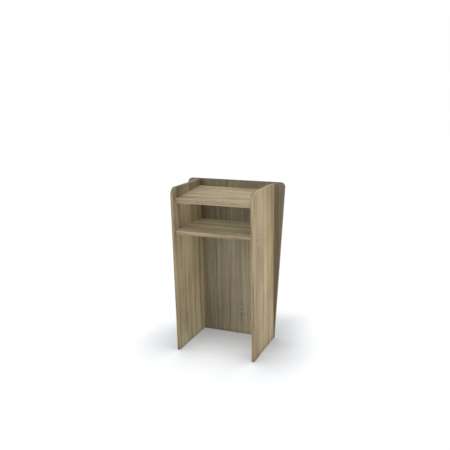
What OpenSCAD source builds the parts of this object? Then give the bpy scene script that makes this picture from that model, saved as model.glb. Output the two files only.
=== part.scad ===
// Lectern in melamine-faced board, put together with cam fittings and dowels.
// The reader stands on the -Y side and the audience sees the tapered front panel on the +Y side.
// Origin: on the floor, in the middle of the footprint. Millimetres, +Z up.

/* [Overall] */
// Width over the two side panels
carcass_w = 552; // [500:1:560]
// Depth of the side panels, from the reader's edge to the front panel
side_depth = 382; // [330:1:440]
// Height of the side panels above the floor
side_h = 1100; // [1000:1:1250]
// Height of the front panel's top edge above the side panels' top edges
panel_rise = 7; // [0:1:60]
// Reach of the front panel past each side panel at its foot
foot_reach = 2; // [0:1:20]
// Reach of the front panel past each side panel at its top edge, measured to the sharp corner
top_reach = 74; // [40:1:110]

/* [Boards] */
// Thickness of the side panels
side_t = 18; // [16:1:22]
// Thickness of the front panel
panel_t = 18; // [16:1:22]
// Thickness of the reading desk's board
desk_t = 18; // [16:1:22]
// Thickness of the storage shelf's board
shelf_t = 25; // [18:1:28]
// Radius of the side panels' upper corner on the reader's side
side_corner_r = 50; // [30:1:60]
// Radius of the front panel's two upper corners
panel_corner_r = 30; // [15:1:50]

/* [Edge bands] */
// Thickness of the plastic edge bands
band_t = 2; // [1.5:0.5:3]
// Rounding along both long outer corners of a band
band_round = 1; // [0.5:0.25:1.25]

/* [Reading desk] */
// Slope of the reading desk towards the reader, in degrees
desk_slope = 6; // [3:0.5:9]
// Depth of the desk's surface below the side panels' top edges, at the front panel
desk_drop = 42; // [30:1:60]
// Setback of the paper stop from the side panels' reader edges
desk_setback = 22; // [10:1:40]
// Thickness of the paper stop, across the slope
stop_t = 18; // [16:1:22]
// Height of the paper stop, flush with the underside of the desk
stop_h = 28; // [26:1:40]
// Bevel along the desk's upper edge where it meets the paper stop
desk_arris = 0.3; // [0.2:0.1:0.6]
// Distance from the paper stop's ends to its outer dowels
stop_dowel_margin = 78; // [60:1:140]

/* [Shelf] */
// Drop from the desk's surface at the front panel to the shelf's surface
shelf_drop = 231; // [200:1:300]
// Setback of the shelf from the side panels' reader edges
shelf_setback = 12; // [0:1:30]
// Distance from the shelf's ends to the two cams at its rear edge
rear_cam_margin = 138; // [110:1:180]
// Distance from the shelf's ends to the two dowels at its rear edge
rear_dowel_margin = 68; // [60:1:90]

/* [Cam fittings] */
// Diameter of a cam housing
cam_d = 15; // [14:0.5:16]
// Height of a cam housing
cam_h = 13.2; // [13:0.1:13.6]
// Depth of the bolt's axis below the face that a cam is bored into
cam_axis = 9; // [8.5:0.1:9.2]
// Distance from the joint to the cam's centre
cam_reach = 34; // [30:1:40]
// Clearance round a cam housing in its pocket
cam_gap = 0.1; // [0.05:0.05:0.2]
// Room under a cam housing in its pocket
pocket_spare = 0.5; // [0.3:0.1:0.8]
// Radius of the chamber in a cam that takes the bolt's head
chamber_r = 5.2; // [5:0.1:5.4]
// Offset of the chamber from the cam's centre, which draws the bolt in
chamber_shift = 0.3; // [0.2:0.05:0.4]
// Clearance between a bolt's head or neck and the cam
head_gap = 0.3; // [0.2:0.05:0.4]
// Diameter of a cam bolt's head
bolt_head_d = 6.4; // [6:0.1:6.4]
// Length of a cam bolt's head
bolt_head_l = 2.4; // [2:0.1:3]
// Diameter of a cam bolt's neck
bolt_neck_d = 4; // [3.5:0.1:4.5]
// Length of a cam bolt's neck
bolt_neck_l = 6; // [5:0.5:8]
// Diameter of a cam bolt's shank
bolt_shank_d = 7; // [6.6:0.1:7.2]
// Diameter of a cam bolt's thread
bolt_thread_d = 5; // [4.5:0.5:6]
// Length of a cam bolt's thread
bolt_thread_l = 11; // [9:0.5:12]
// Clearance round a bolt's shank and thread
bolt_gap = 0.1; // [0.05:0.05:0.3]
// Depth of a bore past the end of what it holds
bore_spare = 1; // [0.5:0.25:1.5]
// Length of a cam's driver cross
cross_l = 9; // [7:0.5:10]
// Width of a cam's driver cross
cross_w = 1.4; // [1.2:0.1:2]
// Depth of a cam's driver cross
cross_depth = 3.5; // [3:0.1:4]

/* [Cover caps] */
// Diameter of a cam's cover cap
cap_d = 17; // [16.5:0.5:19]
// Thickness of a cover cap
cap_t = 1.2; // [0.8:0.1:1.6]
// Bevel round a cover cap
cap_bevel = 0.5; // [0.3:0.1:0.6]
// Diameter of the peg that holds a cap in its cam
cap_peg_d = 3.8; // [3.4:0.1:4.2]
// Length of the peg that holds a cap in its cam
cap_peg_l = 3.2; // [2.6:0.1:3.6]

/* [Dowels] */
// Diameter of a wooden dowel
dowel_d = 8; // [6:1:8]
// Length of a dowel that stands in a board's face
dowel_in_face = 11; // [9:0.5:12]
// Length of a dowel that stands in a board's edge
dowel_in_edge = 19; // [15:0.5:24]
// Bevel at both ends of a dowel
dowel_bevel = 1; // [0.5:0.25:1.5]
// Clearance round a dowel, for the glue
dowel_gap = 0.1; // [0.05:0.05:0.2]

/* [Places of the fittings] */
// Distance from a board's corner to the nearest cam along the joint
cam_margin = 60; // [50:1:90]
// Height of the lowest side cams above the panel's foot
low_cam_h = 97; // [60:1:160]
// Distance from the shelf's faces to the side cams above and below it
shelf_cam_gap = 100; // [60:1:120]
// Distance from the side panels' top edge to their uppermost dowel
top_dowel_drop = 30; // [20:1:40]

/* [Feet] */
// Height of a glide under the boards
glide_h = 3; // [2:0.5:6]
// Diameter of a glide
glide_d = 16; // [12:0.5:16]
// Bevel round a glide's foot
glide_bevel = 0.8; // [0.4:0.1:1.2]
// Diameter of a glide's stem
glide_stem_d = 8; // [6:0.5:8]
// Length of a glide's stem
glide_stem_l = 18; // [12:1:30]
// Clearance round a glide's stem
glide_gap = 0.1; // [0.05:0.05:0.2]
// Distance from a panel's vertical edge to the centre of its glide
glide_margin = 40; // [20:1:70]

/* [Hidden] */
$fn = 48;

cut = 0.5;
arc_fn = 144;
wood = "#a3957b";
wood_edge = "#8f8069";
zinc = "#b9bbbd";
steel = "#8c9093";
beech = "#d2b48a";
black_plastic = "#2a2a2c";

inner_w = carcass_w - 2 * side_t;
reader_y = -(side_depth + panel_t) / 2;
panel_y = reader_y + side_depth;
shelf_y = reader_y + shelf_setback;
panel_h = side_h + panel_rise;
panel_foot_w = carcass_w + 2 * foot_reach;
panel_top_w = carcass_w + 2 * top_reach;
desk_back_h = side_h - desk_drop;
shelf_h = desk_back_h - shelf_drop;
shelf_under = shelf_h - shelf_t;

// The front panel widens by this angle on each side
taper = atan((panel_top_w - panel_foot_w) / 2 / (panel_h - glide_h));
corner_z = panel_h - panel_corner_r;
corner_x = panel_foot_w / 2 + (corner_z - glide_h) * tan(taper) - panel_corner_r / cos(taper);

// Length of the desk's board along the slope, from the front panel to the paper stop,
// cut to a tenth of a millimetre
desk_room = side_depth - desk_setback - (stop_h - desk_t) * sin(desk_slope);
desk_l = round(10 * (desk_room / cos(desk_slope) - stop_t)) / 10;

// Length of a bolt's head past the joint
head_end = cam_reach + chamber_shift - chamber_r + head_gap + bolt_head_l;

// Heights of the fittings between a side panel and the front panel
side_cam_top = shelf_h + shelf_cam_gap;
side_cam_below = shelf_under - shelf_cam_gap;
side_cam_low = glide_h + low_cam_h;
side_cam_mid = (side_cam_low + side_cam_below) / 2;
side_cam_heights = [side_cam_low, side_cam_mid, side_cam_below, side_cam_top];
side_dowel_heights = [
    (side_cam_low + side_cam_mid) / 2,
    (side_cam_mid + side_cam_below) / 2,
    side_h - top_dowel_drop
];

// Places of the fittings along the shelf's ends
shelf_cam_places = [shelf_y + cam_margin, panel_y - cam_margin];
shelf_dowel_places = [(shelf_y + panel_y) / 2];

// Places of the fittings along the desk's ends, measured down the slope from the front panel
desk_cam_places = [-cam_margin, cam_margin - desk_l];
desk_dowel_places = [-desk_l / 2];

side_glide_places = [reader_y + glide_margin, panel_y - glide_margin];
panel_glide_places = [-(panel_foot_w / 2 - glide_margin), 0, panel_foot_w / 2 - glide_margin];

// Places a drawing of the board plane, with its first axis along +Y and its second along +Z
module upright_along_y(thickness) {
    rotate([90, 0, 90]) linear_extrude(thickness) children();
}

// Places a drawing with its first axis along +X and its second along +Z, reaching towards +Y
module upright_along_x(thickness) {
    translate([0, thickness, 0]) rotate([90, 0, 0]) linear_extrude(thickness) children();
}

// The desk's own frame: origin on its surface at the front panel, +Y up the slope
module on_desk() {
    translate([0, panel_y, desk_back_h]) rotate([desk_slope, 0, 0]) children();
}

// Places a drawing of a piece of the desk across the whole inner width, with its first axis up
// the slope and its second square to it
module across_desk() {
    translate([-inner_w / 2, 0, 0]) upright_along_y(inner_w)
        translate([panel_y, desk_back_h]) rotate(desk_slope) children();
}

// A fitting's own frame: joint plane at x = 0, the board with the cam on the +X side,
// the bolt on the X axis and the cam's open face at z = -cam_axis

module at_shelf_ends(places) {
    for (side = [0, 1], y = places)
        mirror([side, 0, 0]) translate([-inner_w / 2, y, shelf_under + cam_axis]) children();
}

module at_shelf_rear(margin) {
    for (x = [margin - inner_w / 2, inner_w / 2 - margin])
        translate([x, panel_y, shelf_under + cam_axis]) rotate([0, 0, -90]) children();
}

module at_desk_ends(places) {
    on_desk() for (side = [0, 1], y = places)
        mirror([side, 0, 0]) translate([-inner_w / 2, y, cam_axis - desk_t]) children();
}

module at_left_side_rear(heights) {
    for (z = heights)
        translate([-inner_w / 2 - cam_axis, panel_y, z]) rotate([90, 0, -90]) children();
}

module at_stop_rear() {
    on_desk() for (x = [stop_dowel_margin - inner_w / 2, 0, inner_w / 2 - stop_dowel_margin])
        translate([x, -desk_l, -desk_t / 2]) rotate([0, 0, 90]) children();
}

// One cam bolt: thread in the face of the mating board, shank in the bored edge, neck and head
module cam_bolt() {
    rotate([0, 90, 0]) {
        translate([0, 0, -bolt_thread_l]) cylinder(d = bolt_thread_d, h = bolt_thread_l);
        cylinder(d = bolt_shank_d, h = head_end - bolt_head_l - bolt_neck_l);
        cylinder(d = bolt_neck_d, h = head_end);
        translate([0, 0, head_end - bolt_head_l]) cylinder(d = bolt_head_d, h = bolt_head_l);
    }
}

// Bore for the bolt's shank in the edge of the board that holds the cam
module bolt_edge_bore() {
    translate([-cut, 0, 0]) rotate([0, 90, 0]) cylinder(d = bolt_shank_d + 2 * bolt_gap, h = cam_reach + cut);
}

// Bore for the bolt's thread in the face of the mating board
module bolt_face_bore() {
    translate([-bolt_thread_l - bore_spare, 0, 0])
        rotate([0, 90, 0]) cylinder(d = bolt_thread_d + 2 * bolt_gap, h = bolt_thread_l + bore_spare + cut);
}

// One cam housing, with the off-centre chamber for the bolt's head, the slot that its neck
// passes through, the mouth that the head enters by, and the driver's cross
module cam_housing() {
    head_room = bolt_head_d + 2 * head_gap;
    neck_room = bolt_neck_d + 2 * head_gap;
    translate([cam_reach, 0, -cam_axis]) difference() {
        cylinder(d = cam_d, h = cam_h);
        translate([chamber_shift, 0, cam_axis - head_room / 2]) cylinder(r = chamber_r, h = head_room);
        translate([0, 0, cam_axis]) rotate([90, 0, 0]) cylinder(d = head_room, h = cam_d);
        translate([0, 0, cam_axis - neck_room / 2]) rotate([0, 0, 160])
            rotate_extrude(angle = 110) square([cam_d, neck_room]);
        for (turn = [0, 90])
            rotate([0, 0, turn]) translate([-cross_l / 2, -cross_w / 2, -cut])
                cube([cross_l, cross_w, cross_depth + cut]);
        translate([0, 0, -cut]) cylinder(d = cap_peg_d + 2 * cam_gap, h = cross_depth + cut);
    }
}

// Pocket for a cam housing in the board's face
module cam_pocket() {
    translate([cam_reach, 0, -cam_axis - cut])
        cylinder(d = cam_d + 2 * cam_gap, h = cam_h + pocket_spare + cut);
}

// One cover cap, with its peg in the cam's cross
module cam_cap() {
    translate([cam_reach, 0, -cam_axis]) rotate_extrude() polygon([
        [0, -cap_t], [cap_d / 2 - cap_bevel, -cap_t], [cap_d / 2, cap_bevel - cap_t],
        [cap_d / 2, 0], [cap_peg_d / 2, 0], [cap_peg_d / 2, cap_peg_l], [0, cap_peg_l]
    ]);
}

// One dowel across a joint
module dowel() {
    l = dowel_in_face + dowel_in_edge;
    r = dowel_d / 2;
    translate([-dowel_in_face, 0, 0]) rotate([0, 90, 0]) rotate_extrude() polygon([
        [0, 0], [r - dowel_bevel, 0], [r, dowel_bevel], [r, l - dowel_bevel], [r - dowel_bevel, l], [0, l]
    ]);
}

// Bores for a dowel on both sides of a joint
module dowel_bore() {
    translate([-dowel_in_face - bore_spare, 0, 0]) rotate([0, 90, 0])
        cylinder(d = dowel_d + 2 * dowel_gap, h = dowel_in_face + dowel_in_edge + 2 * bore_spare);
}

// One glide: a bevelled foot with its stem in the board's lower edge
module glide() {
    r = glide_d / 2;
    rotate_extrude() polygon([
        [0, 0], [r - glide_bevel, 0], [r, glide_bevel], [r, glide_h],
        [glide_stem_d / 2, glide_h], [glide_stem_d / 2, glide_h + glide_stem_l], [0, glide_h + glide_stem_l]
    ]);
}

// Bore for a glide's stem
module glide_bore() {
    translate([0, 0, glide_h - cut])
        cylinder(d = glide_stem_d + 2 * glide_gap, h = glide_stem_l + bore_spare + cut);
}

module at_left_side_glides() {
    for (y = side_glide_places) translate([side_t / 2 - carcass_w / 2, y, 0]) children();
}

module at_panel_glides() {
    for (x = panel_glide_places) translate([x, panel_y + panel_t / 2, 0]) children();
}

// Cross section of an edge band: glued face at x = 0, outer face at x = band_t, across the board in y
module band_section(width) {
    square([band_t - band_round, width]);
    translate([0, band_round]) square([band_t, width - 2 * band_round]);
    for (y = [band_round, width - band_round]) translate([band_t - band_round, y]) circle(band_round);
}

// Outline of a side panel in the Y-Z plane, kept inside its edge band
module side_outline() {
    r = side_corner_r - band_t;
    front = reader_y + band_t;
    top = side_h - band_t;
    polygon([
        [front, glide_h], [panel_y, glide_h], [panel_y, top], [front + r, top], [front, top - r]
    ]);
    translate([front + r, top - r]) circle(r, $fn = arc_fn);
}

// The left side panel's board, bored for the shelf, the desk, the front panel and the glides
module side_board() {
    difference() {
        translate([-carcass_w / 2, 0, 0]) upright_along_y(side_t) side_outline();
        at_shelf_ends(shelf_cam_places) bolt_face_bore();
        at_shelf_ends(shelf_dowel_places) dowel_bore();
        at_desk_ends(desk_cam_places) bolt_face_bore();
        at_desk_ends(desk_dowel_places) dowel_bore();
        at_left_side_rear(side_cam_heights) {
            bolt_edge_bore();
            cam_pocket();
        }
        at_left_side_rear(side_dowel_heights) dowel_bore();
        at_left_side_glides() glide_bore();
    }
}

// The left side panel's band: up the reader's edge, round the corner and along the top
module side_band() {
    front_l = side_h - side_corner_r - glide_h;
    translate([-carcass_w / 2, reader_y + band_t, glide_h]) rotate([0, 0, -90])
        linear_extrude(front_l) band_section(side_t);
    translate([-carcass_w / 2, reader_y + side_corner_r, side_h - side_corner_r]) rotate([180, -90, 0])
        rotate_extrude(angle = 90, $fn = arc_fn) translate([side_corner_r - band_t, 0]) band_section(side_t);
    translate([-carcass_w / 2, reader_y + side_corner_r, side_h - band_t]) rotate([-90, -90, 0])
        linear_extrude(side_depth - side_corner_r) band_section(side_t);
}

module left_side_panel() {
    color(wood) side_board();
}

module right_side_panel() {
    color(wood) mirror([1, 0, 0]) side_board();
}

module left_side_edge_band() {
    color(wood_edge) side_band();
}

module right_side_edge_band() {
    color(wood_edge) mirror([1, 0, 0]) side_band();
}

// Outline of the front panel in the X-Z plane, kept inside its edge band
module panel_outline() {
    r = panel_corner_r - band_t;
    foot_x = panel_foot_w / 2 - band_t / cos(taper);
    flank_x = corner_x + r * cos(taper);
    flank_z = corner_z - r * sin(taper);
    polygon([
        [-foot_x, glide_h], [foot_x, glide_h], [flank_x, flank_z], [corner_x, corner_z + r],
        [-corner_x, corner_z + r], [-flank_x, flank_z]
    ]);
    for (x = [-corner_x, corner_x]) translate([x, corner_z]) circle(r, $fn = arc_fn);
}

module front_panel() {
    color(wood) difference() {
        translate([0, panel_y, 0]) upright_along_x(panel_t) panel_outline();
        for (side = [0, 1]) mirror([side, 0, 0]) {
            at_left_side_rear(side_cam_heights) bolt_face_bore();
            at_left_side_rear(side_dowel_heights) dowel_bore();
        }
        at_shelf_rear(rear_cam_margin) bolt_face_bore();
        at_shelf_rear(rear_dowel_margin) dowel_bore();
        at_panel_glides() glide_bore();
    }
}

// The front panel's band is swept as one strip: up one slanted edge, round both corners and down the
// other. A station is a point on the glued line and the outward step for 1 mm of band. The stations
// in a corner stand where the facets touch the true arc from outside, clear of the board.
corner_facets = 16;
corner_step = (90 + taper) / corner_facets;

function corner_station(side, k) =
    let (
        turn = (k + 0.5) * corner_step - taper,
        out = [side * cos(turn), sin(turn)] / cos(corner_step / 2)
    )
    [[side * corner_x, corner_z] + (panel_corner_r - band_t) * out, out];

function foot_station(side) =
    [[side * (panel_foot_w / 2 - band_t / cos(taper)), glide_h], [side / cos(taper), 0]];

band_stations = concat(
    [foot_station(1)],
    [for (k = [0 : corner_facets - 1]) corner_station(1, k)],
    [for (k = [corner_facets - 1 : -1 : 0]) corner_station(-1, k)],
    [foot_station(-1)]
);

// The same cross section as band_section, as points for the sweep
round_facets = 4;
function band_section_points(width) = concat(
    [[0, 0]],
    [for (k = [0 : round_facets]) let (turn = 90 * k / round_facets - 90)
        [band_t - band_round, band_round] + band_round * [cos(turn), sin(turn)]],
    [for (k = [0 : round_facets]) let (turn = 90 * k / round_facets)
        [band_t - band_round, width - band_round] + band_round * [cos(turn), sin(turn)]],
    [[0, width]]
);

module front_panel_edge_band() {
    section = band_section_points(panel_t);
    n = len(section);
    last = len(band_stations) - 1;
    points = [
        for (station = band_stations, p = section)
            let (place = station[0] + p[0] * station[1]) [place[0], panel_y + p[1], place[1]]
    ];
    walls = [
        for (ring = [0 : last - 1], k = [0 : n - 1])
            let (a = ring * n + k, b = ring * n + (k + 1) % n) [a, a + n, b + n, b]
    ];
    ends = [[for (k = [0 : n - 1]) k], [for (k = [n - 1 : -1 : 0]) last * n + k]];
    color(wood_edge) polyhedron(points, concat(walls, ends), convexity = 4);
}

module shelf_board() {
    color(wood) difference() {
        translate([-inner_w / 2, shelf_y + band_t, shelf_under])
            cube([inner_w, panel_y - shelf_y - band_t, shelf_t]);
        at_shelf_ends(shelf_cam_places) {
            bolt_edge_bore();
            cam_pocket();
        }
        at_shelf_rear(rear_cam_margin) {
            bolt_edge_bore();
            cam_pocket();
        }
        at_shelf_ends(shelf_dowel_places) dowel_bore();
        at_shelf_rear(rear_dowel_margin) dowel_bore();
    }
}

module shelf_edge_band() {
    color(wood_edge) translate([inner_w / 2, shelf_y + band_t, shelf_under]) rotate([90, 0, -90])
        linear_extrude(inner_w) band_section(shelf_t);
}

// The desk's board, with its rear edge cut to stand flat against the front panel
module desk_board() {
    color(wood) difference() {
        across_desk() polygon([
            [-desk_l, -desk_t], [-desk_t * tan(desk_slope), -desk_t], [0, 0],
            [desk_arris - desk_l, 0], [-desk_l, -desk_arris]
        ]);
        at_desk_ends(desk_cam_places) {
            bolt_edge_bore();
            cam_pocket();
        }
        at_desk_ends(desk_dowel_places) dowel_bore();
        at_stop_rear() dowel_bore();
    }
}

// The strip that keeps papers on the desk, glued and dowelled to the desk's lower edge
module paper_stop() {
    color(wood) difference() {
        across_desk() translate([-desk_l - stop_t, band_t - desk_t]) square([stop_t, stop_h - 2 * band_t]);
        at_stop_rear() dowel_bore();
    }
}

module paper_stop_edge_bands() {
    color(wood_edge) {
        across_desk() translate([-desk_l, stop_h - desk_t - band_t]) rotate(90) band_section(stop_t);
        across_desk() translate([-desk_l - stop_t, band_t - desk_t]) rotate(-90) band_section(stop_t);
    }
}

module left_side_cams() {
    color(zinc) at_left_side_rear(side_cam_heights) cam_housing();
}

module left_side_cam_bolts() {
    color(steel) at_left_side_rear(side_cam_heights) cam_bolt();
}

module left_side_cam_caps() {
    color(wood_edge) at_left_side_rear(side_cam_heights) cam_cap();
}

module left_side_dowels() {
    color(beech) at_left_side_rear(side_dowel_heights) dowel();
}

module right_side_cams() {
    mirror([1, 0, 0]) left_side_cams();
}

module right_side_cam_bolts() {
    mirror([1, 0, 0]) left_side_cam_bolts();
}

module right_side_cam_caps() {
    mirror([1, 0, 0]) left_side_cam_caps();
}

module right_side_dowels() {
    mirror([1, 0, 0]) left_side_dowels();
}

module shelf_cams() {
    color(zinc) {
        at_shelf_ends(shelf_cam_places) cam_housing();
        at_shelf_rear(rear_cam_margin) cam_housing();
    }
}

module shelf_cam_bolts() {
    color(steel) {
        at_shelf_ends(shelf_cam_places) cam_bolt();
        at_shelf_rear(rear_cam_margin) cam_bolt();
    }
}

module shelf_cam_caps() {
    color(wood_edge) {
        at_shelf_ends(shelf_cam_places) cam_cap();
        at_shelf_rear(rear_cam_margin) cam_cap();
    }
}

module shelf_dowels() {
    color(beech) {
        at_shelf_ends(shelf_dowel_places) dowel();
        at_shelf_rear(rear_dowel_margin) dowel();
    }
}

module desk_cams() {
    color(zinc) at_desk_ends(desk_cam_places) cam_housing();
}

module desk_cam_bolts() {
    color(steel) at_desk_ends(desk_cam_places) cam_bolt();
}

module desk_cam_caps() {
    color(wood_edge) at_desk_ends(desk_cam_places) cam_cap();
}

module desk_dowels() {
    color(beech) at_desk_ends(desk_dowel_places) dowel();
}

module paper_stop_dowels() {
    color(beech) at_stop_rear() dowel();
}

module left_side_glides() {
    color(black_plastic) at_left_side_glides() glide();
}

module right_side_glides() {
    mirror([1, 0, 0]) left_side_glides();
}

module front_panel_glides() {
    color(black_plastic) at_panel_glides() glide();
}

left_side_panel();
right_side_panel();
front_panel();
desk_board();
shelf_board();
paper_stop();
left_side_edge_band();
right_side_edge_band();
front_panel_edge_band();
shelf_edge_band();
paper_stop_edge_bands();
left_side_cams();
left_side_cam_bolts();
left_side_cam_caps();
left_side_dowels();
right_side_cams();
right_side_cam_bolts();
right_side_cam_caps();
right_side_dowels();
shelf_cams();
shelf_cam_bolts();
shelf_cam_caps();
shelf_dowels();
desk_cams();
desk_cam_bolts();
desk_cam_caps();
desk_dowels();
paper_stop_dowels();
left_side_glides();
right_side_glides();
front_panel_glides();
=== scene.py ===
"""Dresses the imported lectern: wood print, edge bands, fittings, stage, light and camera."""

from collections import namedtuple
from math import cos, pi, radians, sin

import bmesh
import bpy
from bpy.props import (
    FloatProperty,
    FloatVectorProperty,
    IntProperty,
    PointerProperty,
)
from mathutils import Matrix, Vector


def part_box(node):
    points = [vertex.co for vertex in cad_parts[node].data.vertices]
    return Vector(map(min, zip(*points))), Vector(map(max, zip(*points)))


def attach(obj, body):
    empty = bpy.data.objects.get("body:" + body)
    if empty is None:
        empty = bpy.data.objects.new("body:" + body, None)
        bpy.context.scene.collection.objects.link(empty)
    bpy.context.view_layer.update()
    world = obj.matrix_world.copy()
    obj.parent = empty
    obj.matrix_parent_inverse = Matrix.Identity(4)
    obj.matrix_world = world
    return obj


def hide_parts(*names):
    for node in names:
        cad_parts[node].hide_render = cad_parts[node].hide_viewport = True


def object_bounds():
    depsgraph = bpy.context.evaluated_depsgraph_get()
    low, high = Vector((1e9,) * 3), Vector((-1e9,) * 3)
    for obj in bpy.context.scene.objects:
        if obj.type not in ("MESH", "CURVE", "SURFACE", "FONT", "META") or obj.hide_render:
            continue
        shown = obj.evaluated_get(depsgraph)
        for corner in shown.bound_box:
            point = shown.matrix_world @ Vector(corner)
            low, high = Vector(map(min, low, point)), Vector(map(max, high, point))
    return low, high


bl_info = {
    "name": "Lectern looks",
    "version": (1, 0, 0),
    "blender": (4, 5, 0),
    "location": "View3D > Sidebar > Lectern",
    "description": "Finishes, edge band, stage, light and camera for a lectern in wood-print board",
    "category": "Object",
}

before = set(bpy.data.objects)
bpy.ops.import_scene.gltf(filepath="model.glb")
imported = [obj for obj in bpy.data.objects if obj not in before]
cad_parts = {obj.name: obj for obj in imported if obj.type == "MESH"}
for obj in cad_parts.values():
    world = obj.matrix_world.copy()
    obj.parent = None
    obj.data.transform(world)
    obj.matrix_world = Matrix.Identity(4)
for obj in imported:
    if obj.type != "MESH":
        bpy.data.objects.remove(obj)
CAD_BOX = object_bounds()
BODY = "root"

SLOPE = radians(6)
UP_SLOPE = (0.0, cos(SLOPE), sin(SLOPE))
OFF_SLOPE = (0.0, -sin(SLOPE), cos(SLOPE))
RIGHT, BACK, UP = (1.0, 0.0, 0.0), (0.0, 1.0, 0.0), (0.0, 0.0, 1.0)

# Outer radius of the side panels' rounded corners
SIDE_CORNER_RADIUS = 0.050

# The boards that are joined with cam fittings, as their nodes' names begin
CAM_PLACES = ("left_side", "right_side", "shelf", "desk")

# How the print lies on a board: the directions across and along the grain, a number that picks
# this board's stretch of the print, its own tint over the print's colours, which is partly painted
# light and shade (lighter on the desk and the shelf, darker on the front panel and the paper stop),
# how strongly its streaks stand out, where across the board the heart vein runs, and where a knot
# stands (across, along and its radius), all from the middle of the board
Grain = namedtuple("Grain", "across along seed tint contrast vein knot")
BOARDS = {
    "left_side_panel": Grain(BACK, UP, 127.0, (1.01, 1.06, 1.09), 1.0, 0.06, (-0.08, -0.37, 0.008)),
    "right_side_panel": Grain(BACK, UP, 101.8, (1.02, 0.99, 0.885), 1.0, -0.03, (-0.10, 0.19, 0.009)),
    "front_panel": Grain(RIGHT, UP, 118.7, (0.635, 0.685, 0.74), 0.78, -0.155, (0.035, -0.405, 0.008)),
    "desk_board": Grain(UP_SLOPE, RIGHT, 96.5, (1.42, 1.45, 1.42), 1.15, 0.05, (0.30, 0.0, 0.008)),
    "shelf_board": Grain(BACK, RIGHT, 70.5, (1.37, 1.55, 1.76), 1.0, -0.06, (0.30, 0.0, 0.008)),
    "paper_stop": Grain(OFF_SLOPE, RIGHT, 25.5, (0.76, 0.77, 0.75), 1.0, 0.20, (0.30, 0.0, 0.008)),
}

# Each strip's own stretch of the print, its tint, which is partly painted light and shade (darkest on
# the front panel's strip), and the painted light or shade along the top stretch of a strip with a corner
Strip = namedtuple("Strip", "seed tint top")
STRIPS = {
    "left_side_edge_band": Strip(12.3, (0.75, 0.73, 0.67), 0.90),
    "right_side_edge_band": Strip(14.9, (0.82, 0.81, 0.765), 1.30),
    "front_panel_edge_band": Strip(21.5, (0.46, 0.44, 0.40), 0.75),
    "shelf_edge_band": Strip(17.2, (0.74, 0.72, 0.68), 1.0),
    "paper_stop_edge_bands": Strip(19.6, (1.18, 1.17, 1.11), 1.0),
}


# Properties

class BoardLooks(bpy.types.PropertyGroup):
    """Colours and sizes of the wood print and of the chipboard under it, and its wear."""

    light_tone: FloatVectorProperty(
        name="Light tone", description="Lightest streaks of the print",
        subtype="COLOR", size=3, min=0, max=1, default=(0.660, 0.545, 0.355))
    brown_tone: FloatVectorProperty(
        name="Brown tone", description="Brown streaks of the print",
        subtype="COLOR", size=3, min=0, max=1, default=(0.275, 0.185, 0.095))
    grey_tone: FloatVectorProperty(
        name="Grey tone", description="Greenish-grey streaks of the print",
        subtype="COLOR", size=3, min=0, max=1, default=(0.300, 0.265, 0.185))
    pore_tone: FloatVectorProperty(
        name="Pore tone", description="Pores and knots of the print",
        subtype="COLOR", size=3, min=0, max=1, default=(0.110, 0.078, 0.045))
    chip_light: FloatVectorProperty(
        name="Light chips", description="Lightest chips of the raw chipboard",
        subtype="COLOR", size=3, min=0, max=1, default=(0.560, 0.400, 0.215))
    chip_dark: FloatVectorProperty(
        name="Dark chips", description="Darkest chips of the raw chipboard",
        subtype="COLOR", size=3, min=0, max=1, default=(0.250, 0.150, 0.068))
    facing: FloatProperty(
        name="Facing", description="Thickness of the printed facing",
        unit="LENGTH", min=0.0001, max=0.001, default=0.0003)
    scuffs: FloatProperty(
        name="Scuffs", description="How dark the boards are scuffed near the floor",
        subtype="FACTOR", min=0, max=1, default=0.45)
    # Painted shade on the walls round the desk and on the front panel outside the side panels
    recess_shade_share: FloatProperty(
        name="Recess shade", description="How much painted shade darkens the walls round the desk and the front panel outside the side panels",
        subtype="FACTOR", min=0, max=1, default=0.50)


class PanelBandSize(bpy.types.PropertyGroup):
    """Sizes of the strip round the front panel."""

    foot_reach: FloatProperty(
        name="Foot", description="Half the front panel's width at its foot",
        unit="LENGTH", min=0.2, max=0.4, default=0.278)
    top_reach: FloatProperty(
        name="Top", description="Half the front panel's width at its top edge, between sharp corners",
        unit="LENGTH", min=0.25, max=0.45, default=0.350)
    corner_radius: FloatProperty(
        name="Corner radius", description="Outer radius of the two upper corners",
        unit="LENGTH", min=0.01, max=0.06, default=0.030)
    thickness: FloatProperty(
        name="Thickness", description="Thickness of the strip",
        unit="LENGTH", min=0.0005, max=0.003, default=0.002)
    rounding: FloatProperty(
        name="Rounding", description="Rounding along the strip's outer corners",
        unit="LENGTH", min=0.0002, max=0.0015, default=0.001)
    corner_steps: IntProperty(
        name="Corner steps", description="Steps round each upper corner", min=8, max=64, default=32)
    rounding_steps: IntProperty(
        name="Rounding steps", description="Steps across each rounded edge", min=2, max=8, default=5)


class FittingLooks(bpy.types.PropertyGroup):
    """Colours of the fittings."""

    zinc: FloatVectorProperty(
        name="Zinc", description="Die-cast cam housings",
        subtype="COLOR", size=3, min=0, max=1, default=(0.500, 0.505, 0.515))
    steel: FloatVectorProperty(
        name="Plated steel", description="Cam bolts",
        subtype="COLOR", size=3, min=0, max=1, default=(0.560, 0.575, 0.600))
    cap: FloatVectorProperty(
        name="Caps", description="Moulded cover caps",
        subtype="COLOR", size=3, min=0, max=1, default=(0.360, 0.292, 0.185))
    beech: FloatVectorProperty(
        name="Beech", description="Wooden dowels",
        subtype="COLOR", size=3, min=0, max=1, default=(0.620, 0.440, 0.250))
    glide: FloatVectorProperty(
        name="Glides", description="Moulded glides",
        subtype="COLOR", size=3, min=0, max=1, default=(0.020, 0.020, 0.022))
    glide_worn: FloatVectorProperty(
        name="Worn glides", description="Glides where the floor has scuffed them",
        subtype="COLOR", size=3, min=0, max=1, default=(0.160, 0.155, 0.150))


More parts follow.
